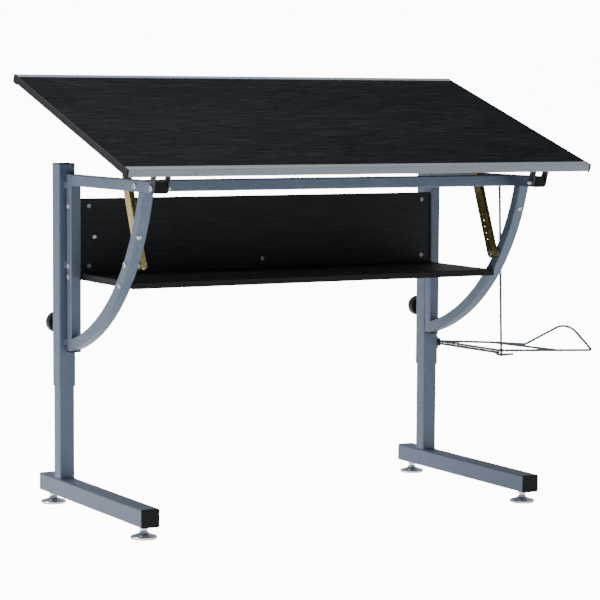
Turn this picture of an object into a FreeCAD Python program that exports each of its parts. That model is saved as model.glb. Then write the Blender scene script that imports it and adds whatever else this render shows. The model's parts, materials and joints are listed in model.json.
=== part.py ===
import FreeCAD, Part
import math
import os

os.makedirs("parts", exist_ok=True)

V = FreeCAD.Vector

# Working frame: X along the board's long side, Y to the back, Z up, floor at 0.
# X = 0 is midway between the feet and Y = 0 is the front face of the telescopic posts.
# SHIFT moves that frame so that the finished part's bounding box is centred.
SHIFT = V(-81.030, 192.664, 0)

# Feet and levellers
POST_X = 460.0
FOOT_W = 40.0
FOOT_Z0 = 26.0
FOOT_Z1 = 64.0
FOOT_FRONT = -413.0
FOOT_REAR = 109.0
FOOT_CAP = 2.5
LEVEL_FRONT = -381.0
LEVEL_REAR = 79.0
LEVEL_R = 27.2
STEM_R = 4.0
NUT_H = 8.0
RUN_GAP = 0.05

# Telescopic posts
INNER_W = 34.0
OUTER_W = 38.0
INNER_TOP = 560.0
OUTER_BOTTOM = 264.5
OUTER_TOP = 740.0
CAP_T = 3.0
WALL = 1.5

# Clamp knobs behind the posts
KNOB_Z = 398.5
KNOB_R = 22.6
KNOB_Y0 = 50.0
KNOB_Y1 = 69.0
KNOB_RIBS = 20
BOSS_R = 9.0
BOSS_L = 8.0

# Side brackets
TUBE = 24.0
TUBE_ROUND = 2.6
BRACKET_IN = 439.5
BRACKET_OUT = BRACKET_IN + TUBE
TAB_T = 3.0
TAB_H = 14.0
TAB_Z = (361.0, 526.0, 697.0)
UP_FRONT = -TAB_T - TUBE
UP_BOTTOM = 343.0
ARM_TOP = 719.5
ARM_FRONT = -438.6
CURVE_Y = 91.7
CURVE_Z = 824.9
CURVE_R = 482.0

# Cross bar
BAR_Y = -346.4
ARM_MID_Z = ARM_TOP - TUBE / 2

# Shelf and back panel
SHELF_T = 13.5
SHELF_TOP = 508.0
SHELF_FRONT = -288.7
PANEL_TOP = 668.0
PANEL_Y0 = -22.0
PANEL_Y1 = -8.5
END_BOLT_Y = -15.2
SHELF_BOLT_Y = -272.0
PANEL_BOLT_TOP = 652.0
PANEL_BOLT_LOW = 524.0
CAM_X = 419.5

# Tilting board, built flat with its top front edge on the origin
TILT = 18.0
BOARD_Y = -493.0
BOARD_Z = 745.0
BOARD_X = 547.0
BOARD_D = 598.6
BOARD_T = 14.0
RAIL_T = 1.2
RAIL_TOP_W = 19.0
RAIL_LIP = 13.0
REBATE = 0.6
RAIL_X = 545.0
RAIL_CAP = 4.5
TRIM_T = 2.5

# Board hinge
PIN_Y = -433.0
PIN_Z = 706.0
PIN_R = 4.0
EAR_T = 2.5
EAR_GAP = 2.7
CAP_FLANGE = 4.0
SPACER_R = 5.2
SPACER_GAP = 0.3
NUT_ACROSS = 16.0
EAR_HALF = 10.0

# Ratchet stays: lower pivot on the curved arm, upper pivot under the board
STAY_X = 427.5
LOW_Y = -300.0
LOW_Z = 546.0
UP_V = 307.1
UP_W = -29.0
CHANNEL_W = 12.0
CHANNEL_D = 24.0
CHANNEL_L = 195.0
BAR_W = 6.0
BAR_D = 12.0
BAR_L = 195.0
UP_PIN_R = 3.0
SLOT_STEP = 15.0

# Wire rack beside the right post
RACK_Z = 315.0
RACK_R = 2.75
ROD_X = 519.5
ROD_TOP_X = 508.5
ROD_Y = -204.0


def save(name, shape):
    moved = shape.copy()
    moved.translate(SHIFT)
    moved.exportStep("parts/" + name + ".step")


def box(x0, x1, y0, y1, z0, z1):
    return Part.makeBox(x1 - x0, y1 - y0, z1 - z0, V(x0, y0, z0))


def rod(radius, start, end):
    line = end.sub(start)
    return Part.makeCylinder(radius, line.Length, start, line)


def rounded(width, depth, radius):
    """Rounded rectangle in the XY plane, centred on the origin."""
    w = width / 2
    d = depth / 2
    k = radius * (1 - math.sqrt(0.5))
    edges = [
        Part.makeLine(V(-w + radius, -d, 0), V(w - radius, -d, 0)),
        Part.Arc(V(w - radius, -d, 0), V(w - k, -d + k, 0), V(w, -d + radius, 0)).toShape(),
        Part.makeLine(V(w, -d + radius, 0), V(w, d - radius, 0)),
        Part.Arc(V(w, d - radius, 0), V(w - k, d - k, 0), V(w - radius, d, 0)).toShape(),
        Part.makeLine(V(w - radius, d, 0), V(-w + radius, d, 0)),
        Part.Arc(V(-w + radius, d, 0), V(-w + k, d - k, 0), V(-w, d - radius, 0)).toShape(),
        Part.makeLine(V(-w, d - radius, 0), V(-w, -d + radius, 0)),
        Part.Arc(V(-w, -d + radius, 0), V(-w + k, -d + k, 0), V(-w + radius, -d, 0)).toShape(),
    ]
    return Part.Face(Part.Wire(edges))


def bar_z(width, depth, radius, z0, z1, x, y):
    solid = rounded(width, depth, radius).extrude(V(0, 0, z1 - z0))
    solid.translate(V(x, y, z0))
    return solid


def tube_z(width, depth, radius, z0, z1, x, y):
    outer = bar_z(width, depth, radius, z0, z1, x, y)
    bore = max(radius - WALL, 0.6)
    inner = bar_z(width - 2 * WALL, depth - 2 * WALL, bore, z0 - 1, z1 + 1, x, y)
    return outer.cut(inner)


def tube_y(width, height, radius, y0, y1, x, z):
    solid = tube_z(width, height, radius, -y1, -y0, 0, 0)
    solid.rotate(V(0, 0, 0), V(1, 0, 0), 90)
    solid.translate(V(x, 0, z))
    return solid


def plug_y(width, height, radius, y0, y1, x, z):
    solid = bar_z(width, height, radius, -y1, -y0, 0, 0)
    solid.rotate(V(0, 0, 0), V(1, 0, 0), 90)
    solid.translate(V(x, 0, z))
    return solid


def end_cap_y(width, height, radius, y0, y1, x, z, inward, flange=0.0):
    plate = plug_y(width + flange, height, radius, y0, y1, x, z)
    near = y1 if inward > 0 else y0 - 9
    corner = max(radius - WALL, 0.8)
    bung = plug_y(width - 2 * WALL - 0.2, height - 2 * WALL - 0.2, corner, near, near + 9, x, z)
    return plate.fuse(bung).removeSplitter()


def end_cap_z(width, depth, radius, z0, z1, x, y, inward):
    plate = bar_z(width, depth, radius, z0, z1, x, y)
    near = z1 if inward > 0 else z0 - 9
    corner = max(radius - WALL, 0.8)
    bung = bar_z(width - 2 * WALL - 0.2, depth - 2 * WALL - 0.2, corner, near, near + 9, x, y)
    return plate.fuse(bung).removeSplitter()


def hexagon(across, start, end):
    radius = across / math.sqrt(3)
    points = [V(radius * math.cos(math.radians(60 * i)), radius * math.sin(math.radians(60 * i)), 0)
              for i in range(7)]
    line = end.sub(start)
    solid = Part.Face(Part.makePolygon(points)).extrude(V(0, 0, line.Length))
    solid.Placement = FreeCAD.Placement(start, FreeCAD.Rotation(V(0, 0, 1), line))
    return solid


def pan_bolt(side, x_face, x_end, y, z, head_r, shank_r):
    """Bolt along X with its domed head on an outer face and its shank running inwards."""
    head = rod(head_r, V(side * x_face, y, z), V(side * (x_face + 3.4), y, z))
    rim = [e for e in head.Edges if len(e.Vertexes) == 1
           and abs(e.BoundBox.Center.x - side * (x_face + 3.4)) < 0.01]
    head = head.makeFillet(1.6, rim)
    recess = hexagon(head_r * 0.85, V(side * (x_face + 1.6), y, z), V(side * (x_face + 6), y, z))
    shank = rod(shank_r, V(side * x_face, y, z), V(side * x_end, y, z))
    return head.cut(recess).fuse(shank).removeSplitter()


def bore_x(radius, y, z):
    return rod(radius, V(-600, y, z), V(600, y, z))


def on_board(shape):
    placed = shape.copy()
    placed.rotate(V(0, 0, 0), V(1, 0, 0), TILT)
    placed.translate(V(0, BOARD_Y, BOARD_Z))
    return placed


def board_point(v, w):
    a = math.radians(TILT)
    return BOARD_Y + v * math.cos(a) - w * math.sin(a), BOARD_Z + v * math.sin(a) + w * math.cos(a)


SIDES = (("left", -1), ("right", 1))

# ---- feet, inner posts and levellers ----
foot_mid_z = (FOOT_Z0 + FOOT_Z1) / 2
foot_h = FOOT_Z1 - FOOT_Z0
for name, side in SIDES:
    x = side * POST_X
    foot = tube_y(FOOT_W, foot_h, 3.5, FOOT_FRONT + FOOT_CAP, FOOT_REAR - FOOT_CAP, x, foot_mid_z)
    for y in (LEVEL_FRONT, LEVEL_REAR):
        foot = foot.cut(rod(STEM_R + RUN_GAP, V(x, y, FOOT_Z0 - 1), V(x, y, FOOT_Z0 + 5)))
    save("foot_" + name, foot)
    front = end_cap_y(FOOT_W, foot_h, 3.5, FOOT_FRONT, FOOT_FRONT + FOOT_CAP, x, foot_mid_z, 1)
    rear = end_cap_y(FOOT_W, foot_h, 3.5, FOOT_REAR - FOOT_CAP, FOOT_REAR, x, foot_mid_z, -1)
    save("foot_caps_" + name, Part.makeCompound([front, rear]))
    save("inner_post_" + name, tube_z(INNER_W, INNER_W, 3.0, FOOT_Z1, INNER_TOP, x, OUTER_W / 2))
    nuts = []
    for place, y in (("front", LEVEL_FRONT), ("rear", LEVEL_REAR)):
        profile = [V(0, 0, 0), V(LEVEL_R - 1.0, 0, 0), V(LEVEL_R, 0, 1.0), V(LEVEL_R, 0, 4.4),
                   V(LEVEL_R - 0.8, 0, 5.6), V(LEVEL_R - 2.6, 0, 6.4), V(20, 0, 7.6), V(14.5, 0, 9.6),
                   V(10.5, 0, 11.2), V(9.0, 0, 12.6), V(8.4, 0, 15.4), V(STEM_R, 0, 15.4),
                   V(STEM_R, 0, 50), V(0, 0, 50), V(0, 0, 0)]
        pad = Part.Face(Part.makePolygon(profile)).revolve(V(0, 0, 0), V(0, 0, 1), 360)
        pad.translate(V(x, y, 0))
        save("leveller_" + name + "_" + place, pad)
        nut = hexagon(NUT_ACROSS, V(x, y, FOOT_Z0 - NUT_H), V(x, y, FOOT_Z0))
        nuts.append(nut.cut(rod(STEM_R + RUN_GAP, V(x, y, 10), V(x, y, 30))))
    save("leveller_nuts_" + name, Part.makeCompound(nuts))

# ---- outer posts with their caps, clamp bosses, screws and knobs ----
bosses = []
for name, side in SIDES:
    x = side * POST_X
    y = OUTER_W / 2
    post = tube_z(OUTER_W, OUTER_W, 3.2, OUTER_BOTTOM, OUTER_TOP, x, y)
    save("outer_post_" + name, post.cut(rod(STEM_R + RUN_GAP, V(x, 30, KNOB_Z), V(x, 50, KNOB_Z))))
    save("post_cap_" + name, end_cap_z(OUTER_W, OUTER_W, 3.2, OUTER_TOP, OUTER_TOP + CAP_T, x, y, -1))
    boss = rod(BOSS_R, V(x, OUTER_W, KNOB_Z), V(x, OUTER_W + BOSS_L, KNOB_Z))
    bosses.append(boss.cut(rod(STEM_R + RUN_GAP, V(x, 30, KNOB_Z), V(x, 60, KNOB_Z))))
    screw = rod(STEM_R, V(x, OUTER_W - 1.7, KNOB_Z), V(x, KNOB_Y0 + 12, KNOB_Z))
    save("clamp_screw_" + name, screw)
    grip = rod(KNOB_R, V(x, KNOB_Y0, KNOB_Z), V(x, KNOB_Y1, KNOB_Z))
    grip = grip.makeFillet(3.0, [e for e in grip.Edges if len(e.Vertexes) == 1])
    for i in range(KNOB_RIBS):
        a = 2 * math.pi * i / KNOB_RIBS
        cx = x + (KNOB_R + 1.0) * math.cos(a)
        cz = KNOB_Z + (KNOB_R + 1.0) * math.sin(a)
        grip = grip.cut(rod(1.7, V(cx, KNOB_Y0 - 1, cz), V(cx, KNOB_Y1 + 1, cz)))
    neck = rod(11.0, V(x, KNOB_Y0 - 3.5, KNOB_Z), V(x, KNOB_Y0, KNOB_Z))
    socket = rod(STEM_R, V(x, KNOB_Y0 - 8, KNOB_Z), V(x, KNOB_Y0 + 12, KNOB_Z))
    save("clamp_knob_" + name, grip.fuse(neck).cut(socket))
save("clamp_bosses", Part.makeCompound(bosses))

# ---- side brackets: upright, horizontal arm, curved arm ----
low_bore = bore_x(PIN_R, LOW_Y, LOW_Z)
end_bores = [bore_x(3.0, END_BOLT_Y, z) for z in (PANEL_BOLT_TOP, PANEL_BOLT_LOW, SHELF_TOP - SHELF_T / 2)]
shelf_front_bore = bore_x(3.0, SHELF_BOLT_Y, SHELF_TOP - SHELF_T / 2)
bar_bore = bore_x(PIN_R, BAR_Y, ARM_MID_Z)
hinge_bore = bore_x(PIN_R, PIN_Y, PIN_Z)
rod_bore = bore_x(3.0, ROD_Y, ARM_MID_Z)
upright_caps = []
arm_caps = []
for name, side in SIDES:
    x = side * (BRACKET_IN + TUBE / 2)
    up_y = UP_FRONT + TUBE / 2
    upright = tube_z(TUBE, TUBE, TUBE_ROUND, UP_BOTTOM, ARM_TOP, x, up_y)
    save("bracket_upright_" + name, upright.cut(Part.makeCompound(end_bores)))
    upright_caps.append(end_cap_z(TUBE, TUBE, TUBE_ROUND, UP_BOTTOM - CAP_T, UP_BOTTOM, x, up_y, 1))
    arm = tube_y(TUBE, TUBE, TUBE_ROUND, ARM_FRONT, UP_FRONT, x, ARM_MID_Z)
    arm = arm.cut(bar_bore).cut(hinge_bore)
    if side > 0:
        arm = arm.cut(rod_bore)
    save("bracket_arm_" + name, arm)
    cap = end_cap_y(TUBE, TUBE, TUBE_ROUND, ARM_FRONT - CAP_T, ARM_FRONT, x, ARM_MID_Z, 1, CAP_FLANGE)
    arm_caps.append(cap.cut(bore_x(PIN_R + 0.6, PIN_Y, PIN_Z)))
    section = rounded(TUBE, TUBE, TUBE_ROUND).cut(rounded(TUBE - 2 * WALL, TUBE - 2 * WALL, 1.1))
    section.rotate(V(0, 0, 0), V(1, 0, 0), 90)
    section.rotate(V(0, 0, 0), V(1, 0, 0), 90)
    section.translate(V(x, CURVE_Y - CURVE_R, CURVE_Z))
    ring = section.revolve(V(x, CURVE_Y, CURVE_Z), V(1, 0, 0), 95)
    keep = box(-600, 600, -520, UP_FRONT, 300, ARM_TOP - TUBE)
    curve = ring.common(keep).cut(low_bore).cut(shelf_front_bore)
    save("bracket_curve_" + name, curve)
    tabs = [box(min(side * (BRACKET_IN - 0.5), side * (BRACKET_OUT + 2.0)),
                max(side * (BRACKET_IN - 0.5), side * (BRACKET_OUT + 2.0)),
                -TAB_T, 0, z - TAB_H / 2, z + TAB_H / 2) for z in TAB_Z]
    save("bracket_tabs_" + name, Part.makeCompound(tabs))
save("upright_caps", Part.makeCompound(upright_caps))
save("arm_caps", Part.makeCompound(arm_caps))

# ---- cross bar between the arms ----
bar = rounded(TUBE, TUBE, TUBE_ROUND).extrude(V(0, 0, 2 * BRACKET_IN))
hollow = rounded(TUBE - 2 * WALL, TUBE - 2 * WALL, 1.1).extrude(V(0, 0, 2 * BRACKET_IN - 8))
hollow.translate(V(0, 0, 4))
bar = bar.cut(hollow)
bar.rotate(V(0, 0, 0), V(0, 1, 0), 90)
bar.translate(V(-BRACKET_IN, BAR_Y, ARM_MID_Z))
save("cross_bar", bar.cut(bar_bore))
save("cross_bar_bolts", Part.makeCompound(
    [pan_bolt(s, BRACKET_OUT, BRACKET_IN - 16, BAR_Y, ARM_MID_Z, 6.5, PIN_R) for s in (-1, 1)]))

# ---- shelf and back panel ----
shelf = box(-BRACKET_IN, BRACKET_IN, SHELF_FRONT, PANEL_Y0, SHELF_TOP - SHELF_T, SHELF_TOP)
front_edges = [e for e in shelf.Edges if abs(e.BoundBox.Center.y - SHELF_FRONT) < 0.01
               and e.BoundBox.XLength > 100]
shelf = shelf.makeFillet(1.5, front_edges)
shelf_z = SHELF_TOP - SHELF_T / 2
bolt_reach = BRACKET_IN - 28
for side in (-1, 1):
    bolt_way = rod(3.0, V(side * 460, SHELF_BOLT_Y, shelf_z), V(side * bolt_reach, SHELF_BOLT_Y, shelf_z))
    shelf = shelf.cut(bolt_way)
panel = box(-BRACKET_IN, BRACKET_IN, PANEL_Y0, PANEL_Y1, SHELF_TOP - SHELF_T, PANEL_TOP)
top_edges = [e for e in panel.Edges if abs(e.BoundBox.Center.z - PANEL_TOP) < 0.01
             and e.BoundBox.XLength > 100]
panel = panel.makeFillet(1.5, top_edges)
for side in (-1, 1):
    for z in (PANEL_BOLT_TOP, PANEL_BOLT_LOW, shelf_z):
        panel = panel.cut(rod(3.0, V(side * 460, END_BOLT_Y, z), V(side * bolt_reach, END_BOLT_Y, z)))
bolts = []
for side in (-1, 1):
    for y, z in ((END_BOLT_Y, PANEL_BOLT_TOP), (END_BOLT_Y, PANEL_BOLT_LOW), (END_BOLT_Y, shelf_z),
                 (SHELF_BOLT_Y, shelf_z)):
        bolts.append(pan_bolt(side, BRACKET_OUT, bolt_reach, y, z, 5.0, 3.0))
save("shelf", shelf)
save("back_panel", panel)
save("board_bolts", Part.makeCompound(bolts))
cams = []
for x, z in ((-CAM_X, PANEL_BOLT_TOP), (-CAM_X, PANEL_BOLT_LOW), (CAM_X - 3.5, PANEL_BOLT_TOP),
             (CAM_X - 3.5, PANEL_BOLT_LOW), (0.0, PANEL_BOLT_LOW + 4)):
    disc = rod(4.6, V(x, PANEL_Y0 - 1.2, z), V(x, PANEL_Y0, z))
    slot = box(x - 2.8, x + 2.8, PANEL_Y0 - 1.3, PANEL_Y0 - 0.5, z - 0.7, z + 0.7)
    cross = box(x - 0.7, x + 0.7, PANEL_Y0 - 1.3, PANEL_Y0 - 0.5, z - 2.8, z + 2.8)
    cams.append(disc.cut(slot).cut(cross))
save("panel_cams", Part.makeCompound(cams))

# ---- ratchet stays ----
up_y, up_z = board_point(UP_V, UP_W)
stay_angle = math.degrees(math.atan2(up_z - LOW_Z, up_y - LOW_Y))
stay_lean = -(90 - stay_angle)


def along_stay(shape, y, z):
    placed = shape.copy()
    placed.rotate(V(0, 0, 0), V(1, 0, 0), stay_lean)
    placed.translate(V(0, y, z))
    return placed


def channel(side):
    half = CHANNEL_W / 2
    x = side * STAY_X
    body = box(x - half, x + half, -CHANNEL_D / 2, CHANNEL_D / 2, -11, CHANNEL_L)
    inside = box(x - half + WALL, x + half - WALL, -CHANNEL_D / 2 + WALL, CHANNEL_D, -20, CHANNEL_L + 5)
    body = body.cut(inside)
    for edge_z, sign in ((-11, -1), (CHANNEL_L, 1)):
        corner = Part.makePolygon([V(x - 20, 13, edge_z), V(x - 20, 13, edge_z - sign * 9),
                                   V(x - 20, 4, edge_z), V(x - 20, 13, edge_z)])
        body = body.cut(Part.Face(corner).extrude(V(40, 0, 0)))
    count = int((CHANNEL_L - 45) / SLOT_STEP)
    for i in range(count):
        z = 28 + SLOT_STEP * i
        tooth = Part.makePolygon([V(x - 20, -2, z), V(x - 20, 2, z + 4), V(x - 20, 2, z + 6.5),
                                  V(x - 20, -2, z + 2.5), V(x - 20, -2, z)])
        body = body.cut(Part.Face(tooth).extrude(V(40, 0, 0)))
    rack_edge = [V(x - 1.8, -20, 24)]
    for i in range(14):
        z = 24 + 10 * i
        rack_edge += [V(x + 1.2, -20, z), V(x + 2.8, -20, z + 8)]
    rack_edge += [V(x + 1.2, -20, 164), V(x - 1.8, -20, 164), V(x - 1.8, -20, 24)]
    body = body.cut(Part.Face(Part.makePolygon(rack_edge)).extrude(V(0, 10, 0)))
    return body.cut(rod(PIN_R + RUN_GAP, V(x - 20, 0, 0), V(x + 20, 0, 0)))


def slider(side):
    half = BAR_W / 2
    x = side * STAY_X
    body = box(x - half, x + half, -BAR_D / 2, BAR_D / 2, -BAR_L, 0)
    body = body.fuse(rod(BAR_D / 2, V(x - half, 0, 0), V(x + half, 0, 0)))
    pawl = box(x - half, x + half, BAR_D / 2, BAR_D / 2 + 3, -BAR_L + 2, -BAR_L + 14)
    body = body.fuse(pawl).removeSplitter()
    return body.cut(rod(UP_PIN_R + RUN_GAP, V(x - 20, 0, 0), V(x + 20, 0, 0)))


for name, side in SIDES:
    save("stay_channel_" + name, along_stay(channel(side), LOW_Y, LOW_Z))
    save("stay_slider_" + name, along_stay(slider(side), up_y, up_z))
pivots = []
for side in (-1, 1):
    bolt = pan_bolt(side, BRACKET_OUT, STAY_X - CHANNEL_W / 2 - 3.5, LOW_Y, LOW_Z, 6.0, PIN_R)
    spacer = rod(7.5, V(side * BRACKET_IN, LOW_Y, LOW_Z),
                 V(side * (STAY_X + CHANNEL_W / 2 + 0.3), LOW_Y, LOW_Z))
    tail = rod(6.5, V(side * (STAY_X - CHANNEL_W / 2 - 0.3), LOW_Y, LOW_Z),
               V(side * (STAY_X - CHANNEL_W / 2 - 3.5), LOW_Y, LOW_Z))
    pivots.append(bolt.fuse(spacer).fuse(tail).removeSplitter())
save("stay_pivots", Part.makeCompound(pivots))

# ---- tilting board with its rails, end caps and edge trims ----
board = box(-BOARD_X, BOARD_X, 0, BOARD_D, -BOARD_T, 0)
rail_end = RAIL_TOP_W - RAIL_T
for v0, v1 in ((-1, rail_end), (BOARD_D - rail_end, BOARD_D + 1)):
    board = board.cut(box(-BOARD_X - 1, BOARD_X + 1, v0, v1, -REBATE, 1))
save("board", on_board(board))


def rail_profile(x0, x1, front):
    outer = box(x0, x1, -RAIL_T, RAIL_TOP_W - RAIL_T, -BOARD_T - RAIL_T, RAIL_T - REBATE)
    wide = box(x0, x1, RAIL_LIP, RAIL_TOP_W + 5, -BOARD_T - RAIL_T - 1, -BOARD_T)
    core = box(x0 - 1, x1 + 1, 0, RAIL_TOP_W + 5, -BOARD_T, -REBATE)
    solid = outer.cut(core).cut(wide)
    nose = [e for e in solid.Edges if e.BoundBox.XLength > 100 and abs(e.BoundBox.Center.y + RAIL_T) < 0.01]
    solid = solid.makeFillet(0.9, nose)
    if not front:
        solid = solid.mirror(V(0, BOARD_D / 2, 0), V(0, 1, 0))
    return solid


save("front_rail", on_board(rail_profile(-RAIL_X, RAIL_X, True)))
save("rear_rail", on_board(rail_profile(-RAIL_X, RAIL_X, False)))
for name, front in (("front_rail_caps", True), ("rear_rail_caps", False)):
    caps = []
    for side in (-1, 1):
        xa = min(side * BOARD_X, side * (RAIL_X + RAIL_CAP))
        xb = max(side * BOARD_X, side * (RAIL_X + RAIL_CAP))
        cap = box(xa, xb, -RAIL_T, RAIL_TOP_W - RAIL_T, -BOARD_T - 3.2, RAIL_T - REBATE)
        xc = min(side * RAIL_X, side * BOARD_X)
        xd = max(side * RAIL_X, side * BOARD_X)
        lips = box(xc, xd, -RAIL_T, RAIL_TOP_W - RAIL_T, -BOARD_T - 3.2, RAIL_T - REBATE)
        lips = lips.cut(box(xc - 1, xd + 1, 0, RAIL_TOP_W, -BOARD_T, -REBATE))
        cap = cap.fuse(lips).removeSplitter()
        if not front:
            cap = cap.mirror(V(0, BOARD_D / 2, 0), V(0, 1, 0))
        caps.append(on_board(cap))
    save(name, Part.makeCompound(caps))
trims = []
for side in (-1, 1):
    xa = min(side * BOARD_X, side * (BOARD_X + TRIM_T))
    trim = box(xa, xa + TRIM_T, rail_end, BOARD_D - rail_end, -BOARD_T, RAIL_T - REBATE)
    trims.append(on_board(trim))
save("edge_trims", Part.makeCompound(trims))

# ---- hinge brackets, hinge bolts and stay lugs under the board ----
a = math.radians(TILT)
pin_v = (PIN_Y - BOARD_Y) * math.cos(a) + (PIN_Z - BOARD_Z) * math.sin(a)
pin_w = -(PIN_Y - BOARD_Y) * math.sin(a) + (PIN_Z - BOARD_Z) * math.cos(a)
screws = []
hinge_bolts = []
for name, side in SIDES:
    x0 = BRACKET_IN - EAR_GAP - EAR_T
    x1 = BRACKET_OUT + EAR_GAP + EAR_T
    xa = min(side * x0, side * x1)
    xb = max(side * x0, side * x1)
    under = -BOARD_T
    plate = box(xa, xb, pin_v - 22, pin_v + 48, under - EAR_T, under)
    ears = plate
    for ear_x in (xa, xb - EAR_T):
        ear = box(ear_x, ear_x + EAR_T, pin_v - EAR_HALF, pin_v + EAR_HALF, pin_w, under)
        foot_round = rod(EAR_HALF, V(ear_x, pin_v, pin_w), V(ear_x + EAR_T, pin_v, pin_w))
        ears = ears.fuse(ear).fuse(foot_round)
    ears = ears.removeSplitter().cut(rod(PIN_R, V(xa - 5, pin_v, pin_w), V(xb + 5, pin_v, pin_w)))
    save("hinge_bracket_" + name, on_board(ears))
    for sv in (pin_v + 20, pin_v + 38):
        head = rod(4.5, V((xa + xb) / 2, sv, under - EAR_T - 2.2), V((xa + xb) / 2, sv, under - EAR_T))
        screws.append(on_board(head))
    outer_face = x1
    bolt = pan_bolt(side, outer_face, x0 - 6, pin_v, pin_w, 6.5, PIN_R)
    nut = hexagon(11.0, V(side * x0, pin_v, pin_w), V(side * (x0 - 4), pin_v, pin_w))
    dome = Part.makeSphere(4.6, V(side * (x0 - 4), pin_v, pin_w))
    bolt = bolt.fuse(nut).fuse(dome)
    for near in (x0 + EAR_T, BRACKET_OUT + SPACER_GAP):
        far = near + EAR_GAP - SPACER_GAP
        bolt = bolt.fuse(rod(SPACER_R, V(side * near, pin_v, pin_w), V(side * far, pin_v, pin_w)))
    bolt = bolt.removeSplitter()
    hinge_bolts.append(on_board(bolt))
    lug_out = BAR_W / 2 + 0.3 + 2.5
    lug = box(side * STAY_X - 15, side * STAY_X + 15, UP_V - 24, UP_V + 24, under - 2.5, under)
    for lx in (-lug_out, BAR_W / 2 + 0.3):
        x = side * STAY_X + lx
        lug = lug.fuse(box(x, x + 2.5, UP_V - 8, UP_V + 8, UP_W, under))
        lug = lug.fuse(rod(8.0, V(x, UP_V, UP_W), V(x + 2.5, UP_V, UP_W)))
    x = side * STAY_X
    lug = lug.removeSplitter().cut(rod(UP_PIN_R, V(x - 15, UP_V, UP_W), V(x + 15, UP_V, UP_W)))
    save("stay_lug_" + name, on_board(lug))
    pin = rod(UP_PIN_R, V(x - lug_out - 2, UP_V, UP_W), V(x + lug_out + 2, UP_V, UP_W))
    for sign in (-1, 1):
        pin = pin.fuse(rod(5.0, V(x + sign * lug_out, UP_V, UP_W), V(x + sign * (lug_out + 2), UP_V, UP_W)))
    hinge_bolts.append(on_board(pin.removeSplitter()))
    for sv in (UP_V - 17, UP_V + 17):
        head = rod(4.5, V(side * STAY_X, sv, under - 4.7), V(side * STAY_X, sv, under - 2.5))
        screws.append(on_board(head))
save("hinge_pins", Part.makeCompound(hinge_bolts))
save("bracket_screws", Part.makeCompound(screws))


# ---- wire rack: hanger rod, clip on the post, wire loop, arms, eye, hook and brace ----
def bent_wire(points, bends):
    """Round wire through the points, with a bend of the given radius at each inner one."""
    edges = []
    start = points[0]
    for before, corner, after, radius in zip(points, points[1:], points[2:], bends):
        back = before.sub(corner).normalize()
        ahead = after.sub(corner).normalize()
        half = back.getAngle(ahead) / 2
        reach = radius / math.tan(half)
        middle = back.add(ahead).normalize()
        centre = corner.add(middle * (radius / math.sin(half)))
        first = corner.add(back * reach)
        last = corner.add(ahead * reach)
        edges.append(Part.makeLine(start, first))
        edges.append(Part.Arc(first, centre.sub(middle * radius), last).toShape())
        start = last
    edges.append(Part.makeLine(start, points[-1]))
    section = Part.Wire([Part.makeCircle(RACK_R, points[0], points[1].sub(points[0]))])
    return Part.Wire(edges).makePipeShell([section], True, False)


post_out = POST_X + OUTER_W / 2
clip_out = post_out + 3
clip = box(post_out, clip_out, 3, 35, RACK_Z - 14, RACK_Z + 14)
clip = clip.makeFillet(1.2, [e for e in clip.Edges if e.BoundBox.XLength > 2.9])
block = box(clip_out - 1, clip_out + 8.5, 6, 18, RACK_Z - 9, RACK_Z + 9)
save("rack_clip", clip.fuse(block).removeSplitter())

hanger_bend = 14.0
hanger = bent_wire([V(BRACKET_OUT + 3, ROD_Y, ARM_MID_Z), V(ROD_TOP_X, ROD_Y, ARM_MID_Z),
                    V(ROD_X, ROD_Y, RACK_Z - 8)], [hanger_bend])
flange = rod(8.0, V(BRACKET_OUT, ROD_Y, ARM_MID_Z), V(BRACKET_OUT + 3, ROD_Y, ARM_MID_Z))
stud = rod(3.0, V(BRACKET_IN - 3, ROD_Y, ARM_MID_Z), V(BRACKET_OUT, ROD_Y, ARM_MID_Z))
stop = Part.makeSphere(4.2, V(ROD_X, ROD_Y, RACK_Z - 10))
save("rack_hanger", hanger.fuse(flange).fuse(stud).fuse(stop).removeSplitter())

eye_mid = RACK_R + 3.35
eye_out = eye_mid + RACK_R + 0.1
joint = V(598, -52, RACK_Z)
knee = V(645, -118, RACK_Z)
crest = V(686.4, -225.5, RACK_Z + 60.0)
tip = V(710.26, -289, RACK_Z)
tip_way = V(tip.x - ROD_X, tip.y - ROD_Y, 0).normalize()
loop_end = V(ROD_X, ROD_Y, RACK_Z).add(tip_way * eye_out)
loop = bent_wire([V(clip_out, 29, RACK_Z), V(500, 29, RACK_Z), joint, knee, crest, tip, loop_end],
                 [9.0, 24.0, 14.0, 50.0, 3.2])
save("rack_loop", loop)

clip_end = V(clip_out + 4.3, 6, RACK_Z)
clip_bend = V(clip_end.x, -6, RACK_Z)
arm_way = V(clip_bend.x - ROD_X, clip_bend.y - ROD_Y, 0).normalize()
arm_tip = V(ROD_X, ROD_Y, RACK_Z).add(arm_way * eye_out)
spread = RACK_R + 0.1
arm_drop = -3.2
arms = [bent_wire([clip_end.add(V(0, 0, sign * spread)), clip_bend.add(V(0, 0, sign * spread)),
                   arm_tip.add(V(0, 0, arm_drop + sign * spread))], [30.0]) for sign in (-1, 1)]
eye = Part.makeTorus(eye_mid, RACK_R, V(ROD_X, ROD_Y, RACK_Z), V(0, 0, 1))
hook_z = RACK_Z - 3 * RACK_R - 0.3
hook = bent_wire([V(ROD_X - 9, ROD_Y + 5, hook_z), V(ROD_X - 7, ROD_Y - 11, hook_z),
                  V(ROD_X + 26, ROD_Y - 9, hook_z)], [6.0])
save("rack_arms", Part.makeCompound(arms + [eye, hook]))

brace_end = V(tip.x + 80 * -tip_way.x, tip.y + 80 * -tip_way.y, RACK_Z)
brace_way = brace_end.sub(joint).normalize()
brace_from = joint.add(brace_way * 11.5)
brace_to = brace_end.sub(brace_way * 5.6)
save("rack_brace", bent_wire([brace_from, brace_to], []))
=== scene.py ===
import json
import math

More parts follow.
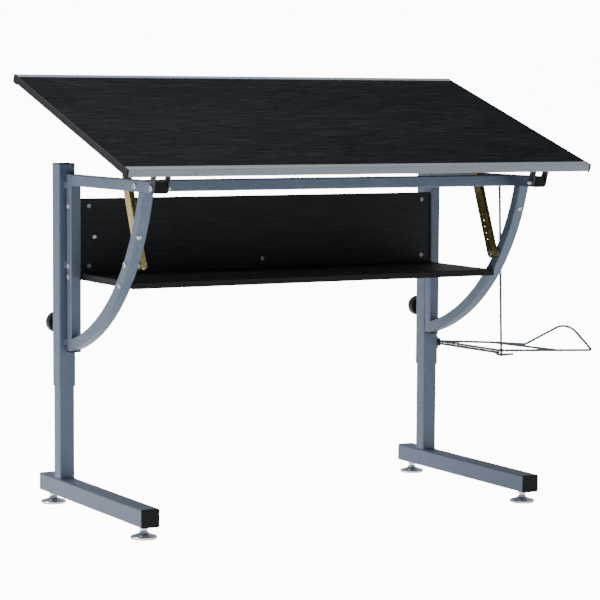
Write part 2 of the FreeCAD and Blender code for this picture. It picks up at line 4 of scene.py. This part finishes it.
import bmesh
import bpy
from mathutils import Matrix, Vector

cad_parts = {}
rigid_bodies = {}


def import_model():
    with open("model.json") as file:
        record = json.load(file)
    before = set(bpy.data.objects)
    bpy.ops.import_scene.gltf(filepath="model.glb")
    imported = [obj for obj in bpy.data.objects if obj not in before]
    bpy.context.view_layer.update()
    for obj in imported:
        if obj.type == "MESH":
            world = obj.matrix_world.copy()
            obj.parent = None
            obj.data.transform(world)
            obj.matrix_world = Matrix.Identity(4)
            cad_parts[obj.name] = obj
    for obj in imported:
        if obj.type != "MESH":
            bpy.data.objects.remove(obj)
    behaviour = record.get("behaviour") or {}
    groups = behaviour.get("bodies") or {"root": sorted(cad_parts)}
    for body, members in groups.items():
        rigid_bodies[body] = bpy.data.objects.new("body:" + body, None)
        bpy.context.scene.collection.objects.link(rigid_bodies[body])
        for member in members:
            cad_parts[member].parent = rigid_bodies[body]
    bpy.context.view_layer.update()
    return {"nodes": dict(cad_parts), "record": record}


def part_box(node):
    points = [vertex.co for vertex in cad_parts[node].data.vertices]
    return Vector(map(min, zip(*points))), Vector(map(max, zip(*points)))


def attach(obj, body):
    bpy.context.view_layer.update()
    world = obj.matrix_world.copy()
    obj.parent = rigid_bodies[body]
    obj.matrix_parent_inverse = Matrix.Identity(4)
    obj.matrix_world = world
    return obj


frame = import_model()
mm = 0.001
print("frame loaded,", len(frame["nodes"]), "nodes")


# Places are given from the middle of the feet, the posts' front face and the floor, in millimetres.
homeX = (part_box("foot_left")[0][0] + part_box("foot_right")[1][0]) / 2
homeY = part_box("outer_post_left")[0][1]


def at(x, y, z):
    return Vector((homeX + x * mm, homeY + y * mm, z * mm))


boardTop = next(m for m in frame["record"]["mounts"] if m["name"] == "board_top")
tilt = math.atan2(-boardTop["axis"][1], boardTop["axis"][2])
boardLow = Vector(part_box("board")[0])
boardThick = 14 * mm
boardEdge = Vector((homeX, boardLow[1], boardLow[2] + boardThick * math.cos(tilt)))  # top front edge
onBoard = Matrix.Translation(boardEdge) @ Matrix.Rotation(tilt, 4, "X")


# shader sums and finishes
class Flow:
    # a shader output that works in sums like a number
    def __init__(self, finish, socket):
        self.finish = finish
        self.socket = socket

    def sum(self, operation, first, second):
        return self.finish.add("ShaderNodeMath", {"operation": operation}, {0: first, 1: second})

    def __add__(self, other):
        return self.sum("ADD", self, other)

    def __radd__(self, other):
        return self.sum("ADD", other, self)

    def __sub__(self, other):
        return self.sum("SUBTRACT", self, other)

    def __rsub__(self, other):
        return self.sum("SUBTRACT", other, self)

    def __mul__(self, other):
        return self.sum("MULTIPLY", self, other)


class Finish:
    # one material: its nodes are added through this
    def __init__(self, name, even):
        self.material = bpy.data.materials.new(name)
        self.material.use_nodes = True
        self.tree = self.material.node_tree
        self.shader = self.tree.nodes["Principled BSDF"]
        self.spots = {}
        for socket, value in even.items():
            self.shader.inputs[socket].default_value = value

    def add(self, kind, settings, values, out=0):
        node = self.tree.nodes.new(kind)
        for key, value in settings.items():
            if key == "stops":
                ramp = node.color_ramp
                while len(ramp.elements) < len(value):
                    ramp.elements.new(1.0)
                for element, (place, level) in zip(ramp.elements, value):
                    element.position = place
                    element.color = (level, level, level, 1)
            else:
                setattr(node, key, value)
        for key, value in values.items():
            if isinstance(value, Flow):
                self.tree.links.new(value.socket, node.inputs[key])
            else:
                node.inputs[key].default_value = value
        return Flow(self, node.outputs[out])

    def spot(self, scale=(1, 1, 1), turn=(0, 0, 0)):
        # the object's own coordinates, turned and stretched
        key = (tuple(scale), tuple(turn))
        if key not in self.spots:
            raw = self.add("ShaderNodeTexCoord", {}, {}, 3)
            self.spots[key] = self.add(
                "ShaderNodeMapping", {}, {"Vector": raw, "Scale": scale, "Rotation": turn})
        return self.spots[key]

    def noise(self, size, detail=3.0, rough=0.5, stretch=(1, 1, 1), turn=(0, 0, 0), bend=0.0):
        return self.add("ShaderNodeTexNoise", {}, {
            "Vector": self.spot(stretch, turn), "Scale": 1 / size, "Detail": detail,
            "Roughness": rough, "Distortion": bend})

    def ramp(self, value, *stops):
        return self.add("ShaderNodeValToRGB", {"stops": stops}, {0: value})

    def tint(self, share, first, second):
        ends = {0: share, 6: colour(first), 7: colour(second)}
        return self.add("ShaderNodeMix", {"data_type": "RGBA"}, ends, 2)

    def feed(self, **links):
        for name, value in links.items():
            self.tree.links.new(value.socket, self.shader.inputs[name.replace("_", " ")])
        return self

    def bump(self, height, strength, depth, under=None):
        ends = {"Strength": strength, "Distance": depth, "Height": height}
        if under is not None:
            ends["Normal"] = under
        return self.add("ShaderNodeBump", {}, ends)


def colour(value):
    return value if isinstance(value, Flow) else (*value, 1.0)


def powderCoat(name, look):
    coat = Finish(name, {"Metallic": look["metal"], "Coat Weight": look["lacquer"], "Coat Roughness": 0.25})
    cloud = coat.noise(0.11, 4, 0.6)
    speck = coat.noise(0.0012, 2, 0.6)
    scuff = coat.ramp(coat.noise(0.016, 6, 0.7, (1, 1, 0.22), bend=1.4), (0.66, 0), (0.72, 1))
    dust = coat.ramp(coat.noise(0.05, 5, 0.65), (0.48, 0), (0.75, 1))
    paint = coat.tint(cloud * 0.7 + speck * 0.3, look["deep"], look["pale"])
    worn = coat.tint(scuff * look["wear"], paint, look["rub"])
    coat.feed(Base_Color=coat.tint(dust * 0.06, worn, (0.45, 0.46, 0.47)))
    coat.feed(Roughness=look["gloss"] + cloud * 0.08 + scuff * 0.1 + dust * 0.06)
    peel = coat.bump(coat.noise(0.0016, 3, 0.55), 0.10, 0.0003)
    coat.feed(Normal=coat.bump(speck, 0.05, 0.0001, peel))
    return coat.material


def grainBoard(name, look):
    wood = Finish(name, {"Specular IOR Level": look["shine"]})
    turn = (-tilt, 0, 0) if look["tilted"] else (0, 0, 0)
    sway = wood.noise(0.16, 3, 0.5, look["run"], turn)
    streak = wood.noise(look["streak"], 4, 0.62, look["draw"], turn, bend=look["curl"])
    veins = wood.ramp(streak * 0.85 + sway * 0.15, (0.43, 0), (0.52, 0.25), (0.60, 1))
    pores = wood.ramp(wood.noise(0.0016, 4, 0.6, (look["run"][0] * 0.16, 1, 1), turn), (0.42, 0), (0.62, 1))
    cloud = wood.noise(0.12, 4, 0.6)
    scratch = wood.ramp(wood.noise(0.003, 4, 0.6, (0.035, 1, 1), (0.2, 0.3, 0.5)), (0.735, 0), (0.76, 1))
    relief = veins * 0.62 + pores * 0.38
    shade = wood.tint(relief, look["deep"], look["pale"])
    shade = wood.tint(cloud * 0.25, shade, look["haze"])
    wood.feed(Base_Color=wood.tint(scratch * 0.12, shade, (0.10, 0.105, 0.11)))
    wood.feed(Roughness=look["gloss"] - relief * 0.12 + cloud * 0.10)
    base = wood.bump(relief, look["emboss"], 0.0005)
    wood.feed(Normal=wood.bump(pores, look["emboss"] * 0.6, 0.0002, base))
    return wood.material


def mouldedPlastic(name, look):
    plastic = Finish(name, {"Specular IOR Level": 0.25})
    leather = plastic.noise(look["texture"], 2, 0.5)
    cloud = plastic.noise(0.03, 4, 0.6)
    rub = plastic.ramp(plastic.noise(0.006, 5, 0.7, bend=0.8), (0.60, 0), (0.70, 1))
    plastic.feed(Base_Color=plastic.tint(cloud * 0.5 + rub * 0.35, look["deep"], look["pale"]))
    plastic.feed(Roughness=look["gloss"] + cloud * 0.12 - rub * 0.08)
    plastic.feed(Normal=plastic.bump(leather, 0.16, 0.0002))
    return plastic.material


def drawnMetal(name, look):
    metal = Finish(name, {"Metallic": look["metal"], "Specular IOR Level": 0.5})
    brush = metal.noise(0.0009, 3, 0.6, look["along"], (-tilt, 0, 0) if look["tilted"] else (0, 0, 0))
    cloud = metal.noise(0.07, 4, 0.6)
    nick = metal.ramp(metal.noise(0.004, 5, 0.7, bend=1.0), (0.68, 0), (0.74, 1))
    metal.feed(Base_Color=metal.tint(brush * 0.45 + cloud * 0.45 + nick * 0.1, look["deep"], look["pale"]))
    metal.feed(Roughness=look["gloss"] + brush * 0.10 + cloud * 0.06 + nick * 0.08)
    metal.feed(Normal=metal.bump(brush, look["line"], 0.0001))
    return metal.material


def passivated(name, look):
    # yellow zinc plate: straw, olive and rosy patches
    plate = Finish(name, {"Metallic": 0.85, "Coat Weight": 0.2, "Coat Roughness": 0.2})
    patch = plate.noise(0.014, 4, 0.55, bend=0.6)
    drift = plate.noise(0.006, 3, 0.5)
    grime = plate.ramp(plate.noise(0.01, 5, 0.7), (0.50, 0), (0.72, 1))
    straw = plate.tint(plate.ramp(patch, (0.36, 0), (0.64, 1)), look["straw"], look["olive"])
    rosy = plate.tint(plate.ramp(drift, (0.52, 0), (0.75, 0.7)), straw, look["rose"])
    plate.feed(Base_Color=plate.tint(grime * 0.45, rosy, look["grime"]))
    plate.feed(Roughness=look["gloss"] + patch * 0.14 + grime * 0.16)
    plate.feed(Normal=plate.bump(drift, 0.08, 0.0001))
    return plate.material


def polished(name, look):
    shiny = Finish(name, {"Metallic": 1.0})
    smear = shiny.noise(0.012, 4, 0.6, bend=0.5)
    fleck = shiny.ramp(shiny.noise(0.0018, 3, 0.6), (0.64, 0), (0.72, 1))
    shiny.feed(Base_Color=shiny.tint(smear * 0.6 + fleck * 0.4, look["pale"], look["deep"]))
    shiny.feed(Roughness=look["gloss"] + smear * 0.09 + fleck * 0.12)
    shiny.feed(Normal=shiny.bump(smear, 0.03, 0.0002))
    return shiny.material


framePaint = powderCoat("silver blue powder coat", {
    "metal": 0.40, "lacquer": 0.10, "deep": (0.086, 0.120, 0.172), "pale": (0.120, 0.162, 0.226),
    "rub": (0.20, 0.24, 0.29), "gloss": 0.40, "wear": 0.30})
wirePaint = powderCoat("grey wire paint", {
    "metal": 0.15, "lacquer": 0.0, "deep": (0.072, 0.088, 0.102), "pale": (0.108, 0.128, 0.146),
    "rub": (0.17, 0.19, 0.21), "gloss": 0.56, "wear": 0.35})
# painted shade: the hinge brackets get a near-black paint that stands for the shadow under the board
hingeShadePaint = powderCoat("hinge paint darkened as painted shade", {
    "metal": 0.10, "lacquer": 0.0, "deep": (0.022, 0.027, 0.034), "pale": (0.036, 0.043, 0.052),
    "rub": (0.12, 0.13, 0.15), "gloss": 0.50, "wear": 0.25})
boardFilm = grainBoard("black embossed wood grain film", {
    "tilted": True, "run": (0.34, 1, 1), "draw": (0.09, 1, 1), "streak": 0.0075, "curl": 0.9, "shine": 0.03,
    "deep": (0.0008, 0.0011, 0.0026), "pale": (0.015, 0.018, 0.027), "haze": (0.005, 0.0065, 0.011),
    "gloss": 0.60, "emboss": 0.35})
shelfFilm = grainBoard("black shelf film", {
    "tilted": False, "run": (0.34, 1, 1), "draw": (0.05, 1, 1), "streak": 0.005, "curl": 0.4, "shine": 0.20,
    "deep": (0.004, 0.0045, 0.0055), "pale": (0.008, 0.0085, 0.010), "haze": (0.009, 0.010, 0.012),
    "gloss": 0.42, "emboss": 0.22})
panelFilm = grainBoard("black back panel film", {
    "tilted": False, "run": (0.34, 1, 1), "draw": (0.05, 1, 1), "streak": 0.005, "curl": 0.4, "shine": 0.22,
    "deep": (0.008, 0.009, 0.011), "pale": (0.016, 0.017, 0.022), "haze": (0.019, 0.020, 0.026),
    "gloss": 0.44, "emboss": 0.22})
capPlastic = mouldedPlastic("black moulded caps", {
    "texture": 0.0009, "deep": (0.0025, 0.0025, 0.003), "pale": (0.007, 0.0075, 0.0085), "gloss": 0.54})
trimPlastic = mouldedPlastic("black edge band", {
    "texture": 0.0014, "deep": (0.004, 0.005, 0.007), "pale": (0.009, 0.010, 0.013), "gloss": 0.52})
knobPlastic = mouldedPlastic("black knob plastic", {
    "texture": 0.0007, "deep": (0.009, 0.009, 0.010), "pale": (0.023, 0.023, 0.025), "gloss": 0.34})
railMetal = drawnMetal("satin rail profile", {
    "metal": 0.10, "tilted": True, "along": (0.012, 1, 1), "deep": (0.180, 0.218, 0.256),
    "pale": (0.255, 0.295, 0.334), "gloss": 0.50, "line": 0.10})
brightPlate = drawnMetal("bright zinc plate", {
    "metal": 0.9, "tilted": False, "along": (1, 1, 1), "deep": (0.52, 0.54, 0.57),
    "pale": (0.74, 0.76, 0.78), "gloss": 0.24, "line": 0.06})
yellowPlate = passivated("yellow zinc plate", {
    "straw": (0.80, 0.62, 0.27), "olive": (0.46, 0.42, 0.16), "rose": (0.56, 0.33, 0.19),
    "grime": (0.09, 0.06, 0.030), "gloss": 0.26})
# painted shade: the yellow zinc colours at about a third of their brightness, for the right stay that sits in
# shade
shadedZincPlate = passivated("yellow zinc plate darkened as painted shade", {
    "straw": (0.30, 0.24, 0.09), "olive": (0.17, 0.15, 0.05), "rose": (0.17, 0.09, 0.05),
    "grime": (0.03, 0.02, 0.010), "gloss": 0.30})
chromePlate = polished("polished chrome", {
    "pale": (0.92, 0.92, 0.93), "deep": (0.64, 0.65, 0.67), "gloss": 0.06})
inkMark = mouldedPlastic("scale ink", {
    "texture": 0.0006, "deep": (0.020, 0.022, 0.026), "pale": (0.050, 0.054, 0.060), "gloss": 0.5})
darkSteel = drawnMetal("dark thread steel", {
    "metal": 0.8, "tilted": False, "along": (1, 1, 0.2), "deep": (0.20, 0.20, 0.21),
    "pale": (0.36, 0.36, 0.37), "gloss": 0.30, "line": 0.08})
print("finishes made")

bySlot = {"frame_paint": framePaint, "black_board": boardFilm, "black_plastic": capPlastic,
          "rail_metal": railMetal, "chrome": chromePlate, "yellow_zinc": yellowPlate,
          "bright_zinc": brightPlate, "wire_paint": wirePaint}
byNode = {"panel_cams": darkSteel, "shelf": shelfFilm, "back_panel": panelFilm, "edge_trims": trimPlastic,
          "clamp_knob_left": knobPlastic, "clamp_knob_right": knobPlastic, "rack_clip": capPlastic,
          # hinge brackets: near-black finish as painted shade
          "hinge_bracket_left": hingeShadePaint, "hinge_bracket_right": hingeShadePaint,
          # right stay: darker copy of the yellow zinc as painted shade
          "stay_channel_right": shadedZincPlate, "stay_slider_right": shadedZincPlate}
slotOf = {part["node"]: part["material_slot"] for part in frame["record"]["subparts"]}
for node, thing in frame["nodes"].items():
    finish = byNode.get(node, bySlot[slotOf[node]])
    for place in thing.material_slots:
        place.material = finish
    if not thing.material_slots:
        thing.data.materials.append(finish)
print("nodes painted")


# mesh helpers
def newObject(name, mesh, finish):
    thing = bpy.data.objects.new(name, mesh)
    bpy.context.scene.collection.objects.link(thing)
    if finish and not mesh.materials:
        mesh.materials.append(finish)
    return thing


def turned(profile, steps, foot, axis, hexFrom=None):
    # rings of (radius, height) about an axis; rings from hexFrom on are six-sided, for a key socket
    rings = []
    for index, (radius, height) in enumerate(profile):
        ring = []
        for step in range(steps):
            angle = 2 * math.pi * step / steps
            reach = radius
            if hexFrom is not None and index >= hexFrom:
                reach = radius / math.cos((angle + math.pi / 6) % (math.pi / 3) - math.pi / 6)
            ring.append(Vector((reach * math.cos(angle), reach * math.sin(angle), height)))
        rings.append(ring)
    turn = Vector((0, 0, 1)).rotation_difference(Vector(axis)).to_matrix()
    shape = bmesh.new()
    made = [[shape.verts.new(turn @ point * mm + foot) for point in ring] for ring in rings]
    for lower, upper in zip(made, made[1:]):
        for i in range(steps):
            j = (i + 1) % steps
            shape.faces.new((lower[i], lower[j], upper[j], upper[i]))
    shape.faces.new(list(reversed(made[0])))
    shape.faces.new(made[-1])
    bmesh.ops.recalc_face_normals(shape, faces=shape.faces)
    return shape


def joined(name, shapes, finish, smooth=35):
    whole = bpy.data.meshes.new(name)
    union = bmesh.new()
    for shape in shapes:
        part = bpy.data.meshes.new("part")
        shape.to_mesh(part)
        shape.free()
        union.from_mesh(part)
        bpy.data.meshes.remove(part)
    union.to_mesh(whole)
    union.free()
    thing = newObject(name, whole, finish)
    if smooth:
        whole.polygons.foreach_set("use_smooth", [True] * len(whole.polygons))
        whole.set_sharp_from_angle(angle=math.radians(smooth))
    return thing


class Tree:
    # a Geometry Nodes tree with named inputs
    def __init__(self, name, inputs):
        self.group = bpy.data.node_groups.new(name, "GeometryNodeTree")
        face = self.group.interface
        face.new_socket("Shape", in_out="INPUT", socket_type="NodeSocketGeometry")
        self.ids = {}
        for label, kind in inputs.items():
            self.ids[label] = face.new_socket(label, in_out="INPUT", socket_type=kind).identifier
        face.new_socket("Shape", in_out="OUTPUT", socket_type="NodeSocketGeometry")
        self.start = self.group.nodes.new("NodeGroupInput")
        self.end = self.group.nodes.new("NodeGroupOutput")

    def given(self, label):
        return self.start.outputs[label]

    def add(self, kind, settings, values, out=0):
        node = self.group.nodes.new(kind)
        for key, value in settings.items():
            setattr(node, key, value)
        for key, value in values.items():
            if isinstance(value, bpy.types.NodeSocket):
                self.group.links.new(value, node.inputs[key])
            else:
                node.inputs[key].default_value = value
        return node.outputs[out]

    def sum(self, operation, first, second):
        return self.add("ShaderNodeMath", {"operation": operation}, {0: first, 1: second})

    def close(self, shape, finish):
        solid = self.add("GeometryNodeRealizeInstances", {}, {0: shape})
        dressed = self.add("GeometryNodeSetMaterial", {}, {"Geometry": solid, "Material": finish})
        self.group.links.new(dressed, self.end.inputs[0])


def grown(name, mesh, tree, values, finish, smooth=None):
    # runs a tree on a mesh and keeps only the plain result
    thing = newObject(name, mesh, None)
    change = thing.modifiers.new("grow", "NODES")
    change.node_group = tree.group
    for label, value in values.items():
        change[tree.ids[label]] = value
    bpy.context.view_layer.update()
    graph = bpy.context.evaluated_depsgraph_get()
    result = bpy.data.meshes.new_from_object(thing.evaluated_get(graph))
    thing.modifiers.clear()
    thing.data = result
    if smooth:
        result.polygons.foreach_set("use_smooth", [True] * len(result.polygons))
    if not result.materials:
        result.materials.append(finish)
    return thing


# scale marks along both rails
scaleMarks = {"length": 1060.0, "step": 2.0, "fine": 3.0, "half": 5.0, "full": 7.5,
              "width": 0.3, "bold": 3.0, "proud": 0.06, "edge": 17.5, "face": 0.6, "rail": 598.6}
marks = Tree("scale marks", {"Count": "NodeSocketInt", "Step": "NodeSocketFloat", "Fine": "NodeSocketFloat",
                             "Half": "NodeSocketFloat", "Full": "NodeSocketFloat",
                             "Width": "NodeSocketFloat"})
row = marks.add("GeometryNodeMeshLine", {"mode": "OFFSET"}, {
    "Count": marks.given("Count"),
    "Offset": marks.add("ShaderNodeCombineXYZ", {}, {"X": marks.given("Step")})})
order = marks.add("GeometryNodeInputIndex", {}, {})
everyFive = marks.sum("LESS_THAN", marks.sum("MODULO", order, 5.0), 0.5)
everyTen = marks.sum("LESS_THAN", marks.sum("MODULO", order, 10.0), 0.5)
halfMore = marks.sum("MULTIPLY", everyFive, marks.sum("SUBTRACT", marks.given("Half"), marks.given("Fine")))
fullMore = marks.sum("MULTIPLY", everyTen, marks.sum("SUBTRACT", marks.given("Full"), marks.given("Half")))
reach = marks.sum("ADD", marks.given("Fine"), marks.sum("ADD", halfMore, fullMore))
stroke = marks.add("GeometryNodeMeshCube", {}, {"Size": (1, 1, 1)})
stroke = marks.add("GeometryNodeTransform", {}, {"Geometry": stroke, "Translation": (0, 0.5, 0)})
bolder = marks.sum("ADD", marks.sum("MULTIPLY", everyFive, scaleMarks["bold"]), 1.0)
strokeWidth = marks.sum("MULTIPLY", marks.given("Width"), bolder)
strokeSize = marks.add("ShaderNodeCombineXYZ", {}, {"X": strokeWidth, "Y": reach,
                                                    "Z": scaleMarks["proud"] * 2})
marks.close(marks.add("GeometryNodeInstanceOnPoints", {}, {
    "Points": row, "Instance": stroke, "Scale": strokeSize}), inkMark)
count = int(scaleMarks["length"] / scaleMarks["step"]) + 1
for name, turn, edge in (("front_scale_marks", math.pi, scaleMarks["edge"]),
                         ("rear_scale_marks", 0.0, scaleMarks["rail"] - scaleMarks["edge"])):
    blank = bpy.data.meshes.new(name)
    scale = grown(name, blank, marks, {
        "Count": count, "Step": scaleMarks["step"], "Fine": scaleMarks["fine"], "Half": scaleMarks["half"],
        "Full": scaleMarks["full"], "Width": scaleMarks["width"]}, inkMark)
    middle = Matrix.Translation((-scaleMarks["length"] / 2, 0, 0))
    laid = Matrix.Translation((0, edge * mm, scaleMarks["face"] * mm)) @ Matrix.Rotation(turn, 4, "Z")
    scale.data.transform(onBoard @ laid @ Matrix.Scale(mm, 4) @ middle)
    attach(scale, "board")
print("scale marks laid")

# weld beads where tubes and tabs meet
weld = {"bead": 1.5, "step": 1.5, "loose": 0.18, "seed": 7, "footTop": 64, "footWidth": 34, "footMid": 19,
        "inner": 439.5, "outer": 463.5, "inset": 2, "front": -27, "under": 695.5, "low": 697, "high": 718,
        "tabs": (361.0, 526.0, 697.0), "tabHalf": 6, "tabFront": -3, "tabEdges": (441.2, 466.0)}
beads = Tree("weld beads", {"Bead": "NodeSocketFloat", "Step": "NodeSocketFloat", "Loose": "NodeSocketFloat",
                            "Seed": "NodeSocketInt"})
path = beads.add("GeometryNodeMeshToCurve", {}, {"Mesh": beads.given("Shape")})
drops = beads.group.nodes.new("GeometryNodeCurveToPoints")
drops.mode = "LENGTH"
beads.group.links.new(path, drops.inputs["Curve"])
beads.group.links.new(beads.given("Step"), drops.inputs["Length"])
drop = beads.add("GeometryNodeMeshIcoSphere", {}, {"Radius": beads.given("Bead"), "Subdivisions": 2})
wobble = beads.add("FunctionNodeRandomValue", {"data_type": "FLOAT"}, {
    2: beads.sum("SUBTRACT", 1.0, beads.given("Loose")), 3: beads.sum("ADD", 1.0, beads.given("Loose")),
    "Seed": beads.given("Seed")}, 1)
beads.close(beads.add("GeometryNodeInstanceOnPoints", {}, {
    "Points": drops.outputs["Points"], "Instance": drop, "Scale": wobble}), framePaint)


def seam(corners):
    # a run of points at scene places; weldRun joins them into edges
    return [at(*corner) for corner in corners]


def weldRun(name, body, loops):
    mesh = bpy.data.meshes.new(name)
    points = []
    edges = []
    for loop, closed in loops:
        first = len(points)
        points += [tuple(point) for point in loop]
        edges += [(first + i, first + i + 1) for i in range(len(loop) - 1)]
        if closed:
            edges.append((first + len(loop) - 1, first))
    mesh.from_pydata(points, edges, [])
    run = grown(name, mesh, beads, {
        "Bead": weld["bead"] * mm, "Step": weld["step"] * mm, "Loose": weld["loose"],
        "Seed": weld["seed"]}, framePaint, smooth=True)
    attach(run, body)


def flatLoop(x, y, z, width, depth, corner=3.0):
    w = width / 2
    d = depth / 2
    c = corner
    return seam([(x - w + c, y - d, z), (x + w - c, y - d, z), (x + w, y - d + c, z), (x + w, y + d - c, z),
                 (x + w - c, y + d, z), (x - w + c, y + d, z), (x - w, y + d - c, z), (x - w, y - d + c, z)])


post = 460.0
for side, sign in (("left", -1), ("right", 1)):
    wide = weld["footWidth"]
    around = flatLoop(sign * post, weld["footMid"], weld["footTop"], wide, wide)
    weldRun("foot_weld_" + side, side + "_leg", [(around, True)])
frameRuns = []
for sign in (-1, 1):
    low = sign * weld["inner"]
    high = sign * weld["outer"]
    inset = sign * weld["inset"]
    front = weld["front"]
    ends = [(low + inset, front, weld["under"]), (high - inset, front, weld["under"])]
    frameRuns.append((seam(ends), False))
    for x in (low, high):
        frameRuns.append((seam([(x, front, weld["low"]), (x, front, weld["high"])]), False))
    for height in weld["tabs"]:
        for x in (low, high):
            ends = [(x, weld["tabFront"], height + way * weld["tabHalf"]) for way in (-1, 1)]
            frameRuns.append((seam(ends), False))
    for edge in weld["tabEdges"]:
        for height in weld["tabs"]:
            ends = [(sign * edge, 0, height + way * weld["tabHalf"]) for way in (-1, 1)]
            frameRuns.append((seam(ends), False))
weldRun("frame_welds", "frame", frameRuns)
print("welds run")


# screws on the curved arms, ferrules on the rack, threads on the stems
roundSteps = 24
socketRing = 5
armScrew = {"head": 5.2, "rise": 2.6, "key": 2.2, "left": (604.0, -456.0), "right": (646.0, 451.5),
            "centre": (91.7, 824.9), "outer": 494.0}
heads = []
for height, x in (armScrew["left"], armScrew["right"]):
    drop = height - armScrew["centre"][1]
    across = -math.sqrt(armScrew["outer"] ** 2 - drop ** 2)
    normal = Vector((0, across, drop)).normalized()
    seat = at(x, armScrew["centre"][0] + across, height)
    r = armScrew["head"]
    h = armScrew["rise"]
    k = armScrew["key"]
    heads.append(turned([(r, -0.6), (r, 0.5), (r * 0.93, h * 0.6), (r * 0.7, h * 0.92), (r * 0.52, h), (k, h),
                         (k, h * 0.3), (k * 0.2, h * 0.25)], roundSteps, seat, normal, hexFrom=socketRing))
panelScrew = {"x": -406.0, "z": 586.0, "face": -22.0, "profile": [
    (5.2, -0.4), (5.2, 0.4), (4.8, 1.3), (3.8, 2.0), (2.8, 2.3), (2.1, 2.3), (2.1, 1.0), (0.5, 0.9)]}
seat = at(panelScrew["x"], panelScrew["face"], panelScrew["z"])
heads.append(turned(panelScrew["profile"], roundSteps, seat, (0, -1, 0), hexFrom=socketRing))
screws = joined("arm_screws", heads, brightPlate)
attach(screws, "frame")

ferrule = {"wire": 2.75, "wall": 0.9, "from": 0.26, "to": 0.30}
armStart = Vector((486.3, -6.0, 315.0))
armTip = Vector((518.0, -195.0, 311.8))
sleeves = []
for spread in (-2.85, 2.85):
    start = armStart + Vector((0, 0, spread))
    end = armTip + Vector((0, 0, spread))
    axis = (end - start).normalized()
    low = start.lerp(end, ferrule["from"])
    span = (end - start).length * (ferrule["to"] - ferrule["from"])
    r = ferrule["wire"]
    w = r + ferrule["wall"]
    sleeves.append(turned([(r, 0), (w - 0.25, 0), (w, 0.3), (w, span - 0.3), (w - 0.25, span), (r, span)],
                         roundSteps, at(*low), axis))
bands = joined("rack_ferrules", sleeves, brightPlate)
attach(bands, "frame")

stem = {"pitch": 1.25, "depth": 0.5, "radius": 4.0, "sunk": 0.2, "steps": 20, "from": 15.5, "length": 2.5,
        "places": (("front", -381.0), ("rear", 79.0))}


def threadRidges(name, body, foot, axis, length):
    # shallow rings at the thread's pitch
    shapes = []
    r = stem["radius"]
    count = int(length / stem["pitch"])
    for i in range(count):
        low = i * stem["pitch"]
        shapes.append(turned([(r - stem["sunk"], low), (r + stem["depth"], low + stem["pitch"] * 0.5),
                              (r - stem["sunk"], low + stem["pitch"])], stem["steps"], foot, axis))
    ridges = joined(name, shapes, darkSteel, smooth=20)
    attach(ridges, body)


for side, sign in (("left", -1), ("right", 1)):
    for place, y in stem["places"]:
        threadRidges("stem_thread_%s_%s" % (side, place), "%s_%s_leveller" % (side, place),
                     at(sign * post, y, stem["from"]), (0, 0, 1), stem["length"])
print("small hardware made")

# floor, light and camera
room = {"floor": 40.0, "floorShade": (0.90, 0.905, 0.91), "cloud": 1.02,
        "glow": 12.0, "lamp": 0.06, "seen": 12.0,
        "mirrored": 0.30, "fill": 0.35}
plate = bpy.data.meshes.new("floor")
half = room["floor"]
corners = [(-half, -half, 0), (half, -half, 0), (half, half, 0), (-half, half, 0)]
plate.from_pydata(corners, [], [(0, 1, 2, 3)])
pale = Finish("pale floor", {"Roughness": 0.75, "Specular IOR Level": 0.1, "Emission Color": (1, 1, 1, 1),
                             "Emission Strength": room["glow"]})
lighter = tuple(v * room["cloud"] for v in room["floorShade"])
pale.feed(Base_Color=pale.tint(pale.noise(0.9, 3), room["floorShade"], lighter))
looked = pale.add("ShaderNodeLightPath", {}, {}, 0)
pale.feed(Emission_Color=pale.tint(looked, (room["lamp"],) * 3, (1, 1, 1)))
floor = newObject("floor", plate, pale.material)

sky = bpy.data.worlds.new("studio")
bpy.context.scene.world = sky
sky.use_nodes = True
back = sky.node_tree.nodes["Background"]
back.inputs["Color"].default_value = (1, 1, 1, 1)
ray = sky.node_tree.nodes.new("ShaderNodeLightPath")
level = None
for kind, low, high in (("Is Glossy Ray", room["fill"], room["mirrored"]),
                        ("Is Camera Ray", None, room["seen"])):
    choose = sky.node_tree.nodes.new("ShaderNodeMix")
    sky.node_tree.links.new(ray.outputs[kind], choose.inputs[0])
    if level is None:
        choose.inputs[2].default_value = low
    else:
        sky.node_tree.links.new(level, choose.inputs[2])
    choose.inputs[3].default_value = high
    level = choose.outputs[0]
sky.node_tree.links.new(level, back.inputs["Strength"])


def softLight(name, place, size, power, target=(0, 0, 0.5)):
    lamp = bpy.data.lights.new(name, "AREA")
    lamp.shape = "RECTANGLE"
    lamp.size, lamp.size_y = size
    lamp.energy = power
    holder = bpy.data.objects.new(name, lamp)
    bpy.context.scene.collection.objects.link(holder)
    holder.location = place
    holder.rotation_euler = (Vector(target) - Vector(place)).to_track_quat("-Z", "Y").to_euler()


lights = (("left key", (-3.4, 0.5, 2.0), (2.2, 2.2), 85), ("overhead", (-0.2, 0.9, 3.8), (3.2, 2.4), 105),
          ("front fill", (0.8, -4.6, 1.8), (2.4, 1.8), 2))
for name, place, size, power in lights:
    softLight(name, place, size, power)

eyePoint = {"x": -2438.363, "y": -4564.997, "z": 896.089, "yaw": 29.1643, "dip": 5.1066, "roll": 0.3599,
            "lens": 139.498, "sensor": 36.0}
yaw, dip, roll = (math.radians(eyePoint[key]) for key in ("yaw", "dip", "roll"))
ahead = Vector((math.sin(yaw) * math.cos(dip), math.cos(yaw) * math.cos(dip), -math.sin(dip)))
across = Vector((math.cos(yaw), -math.sin(yaw), 0))
upward = across.cross(ahead)
rolledAcross = across * math.cos(roll) + upward * math.sin(roll)
rolledUp = upward * math.cos(roll) - across * math.sin(roll)
lens = bpy.data.cameras.new("camera")
lens.lens = eyePoint["lens"]
lens.sensor_width = eyePoint["sensor"]
lens.clip_end = 100.0
camera = bpy.data.objects.new("camera", lens)
bpy.context.scene.collection.objects.link(camera)
pose = Matrix((rolledAcross, rolledUp, -ahead)).transposed().to_4x4()
pose.translation = at(eyePoint["x"], eyePoint["y"], eyePoint["z"])
camera.matrix_world = pose
bpy.context.scene.camera = camera
print("camera and lights set")
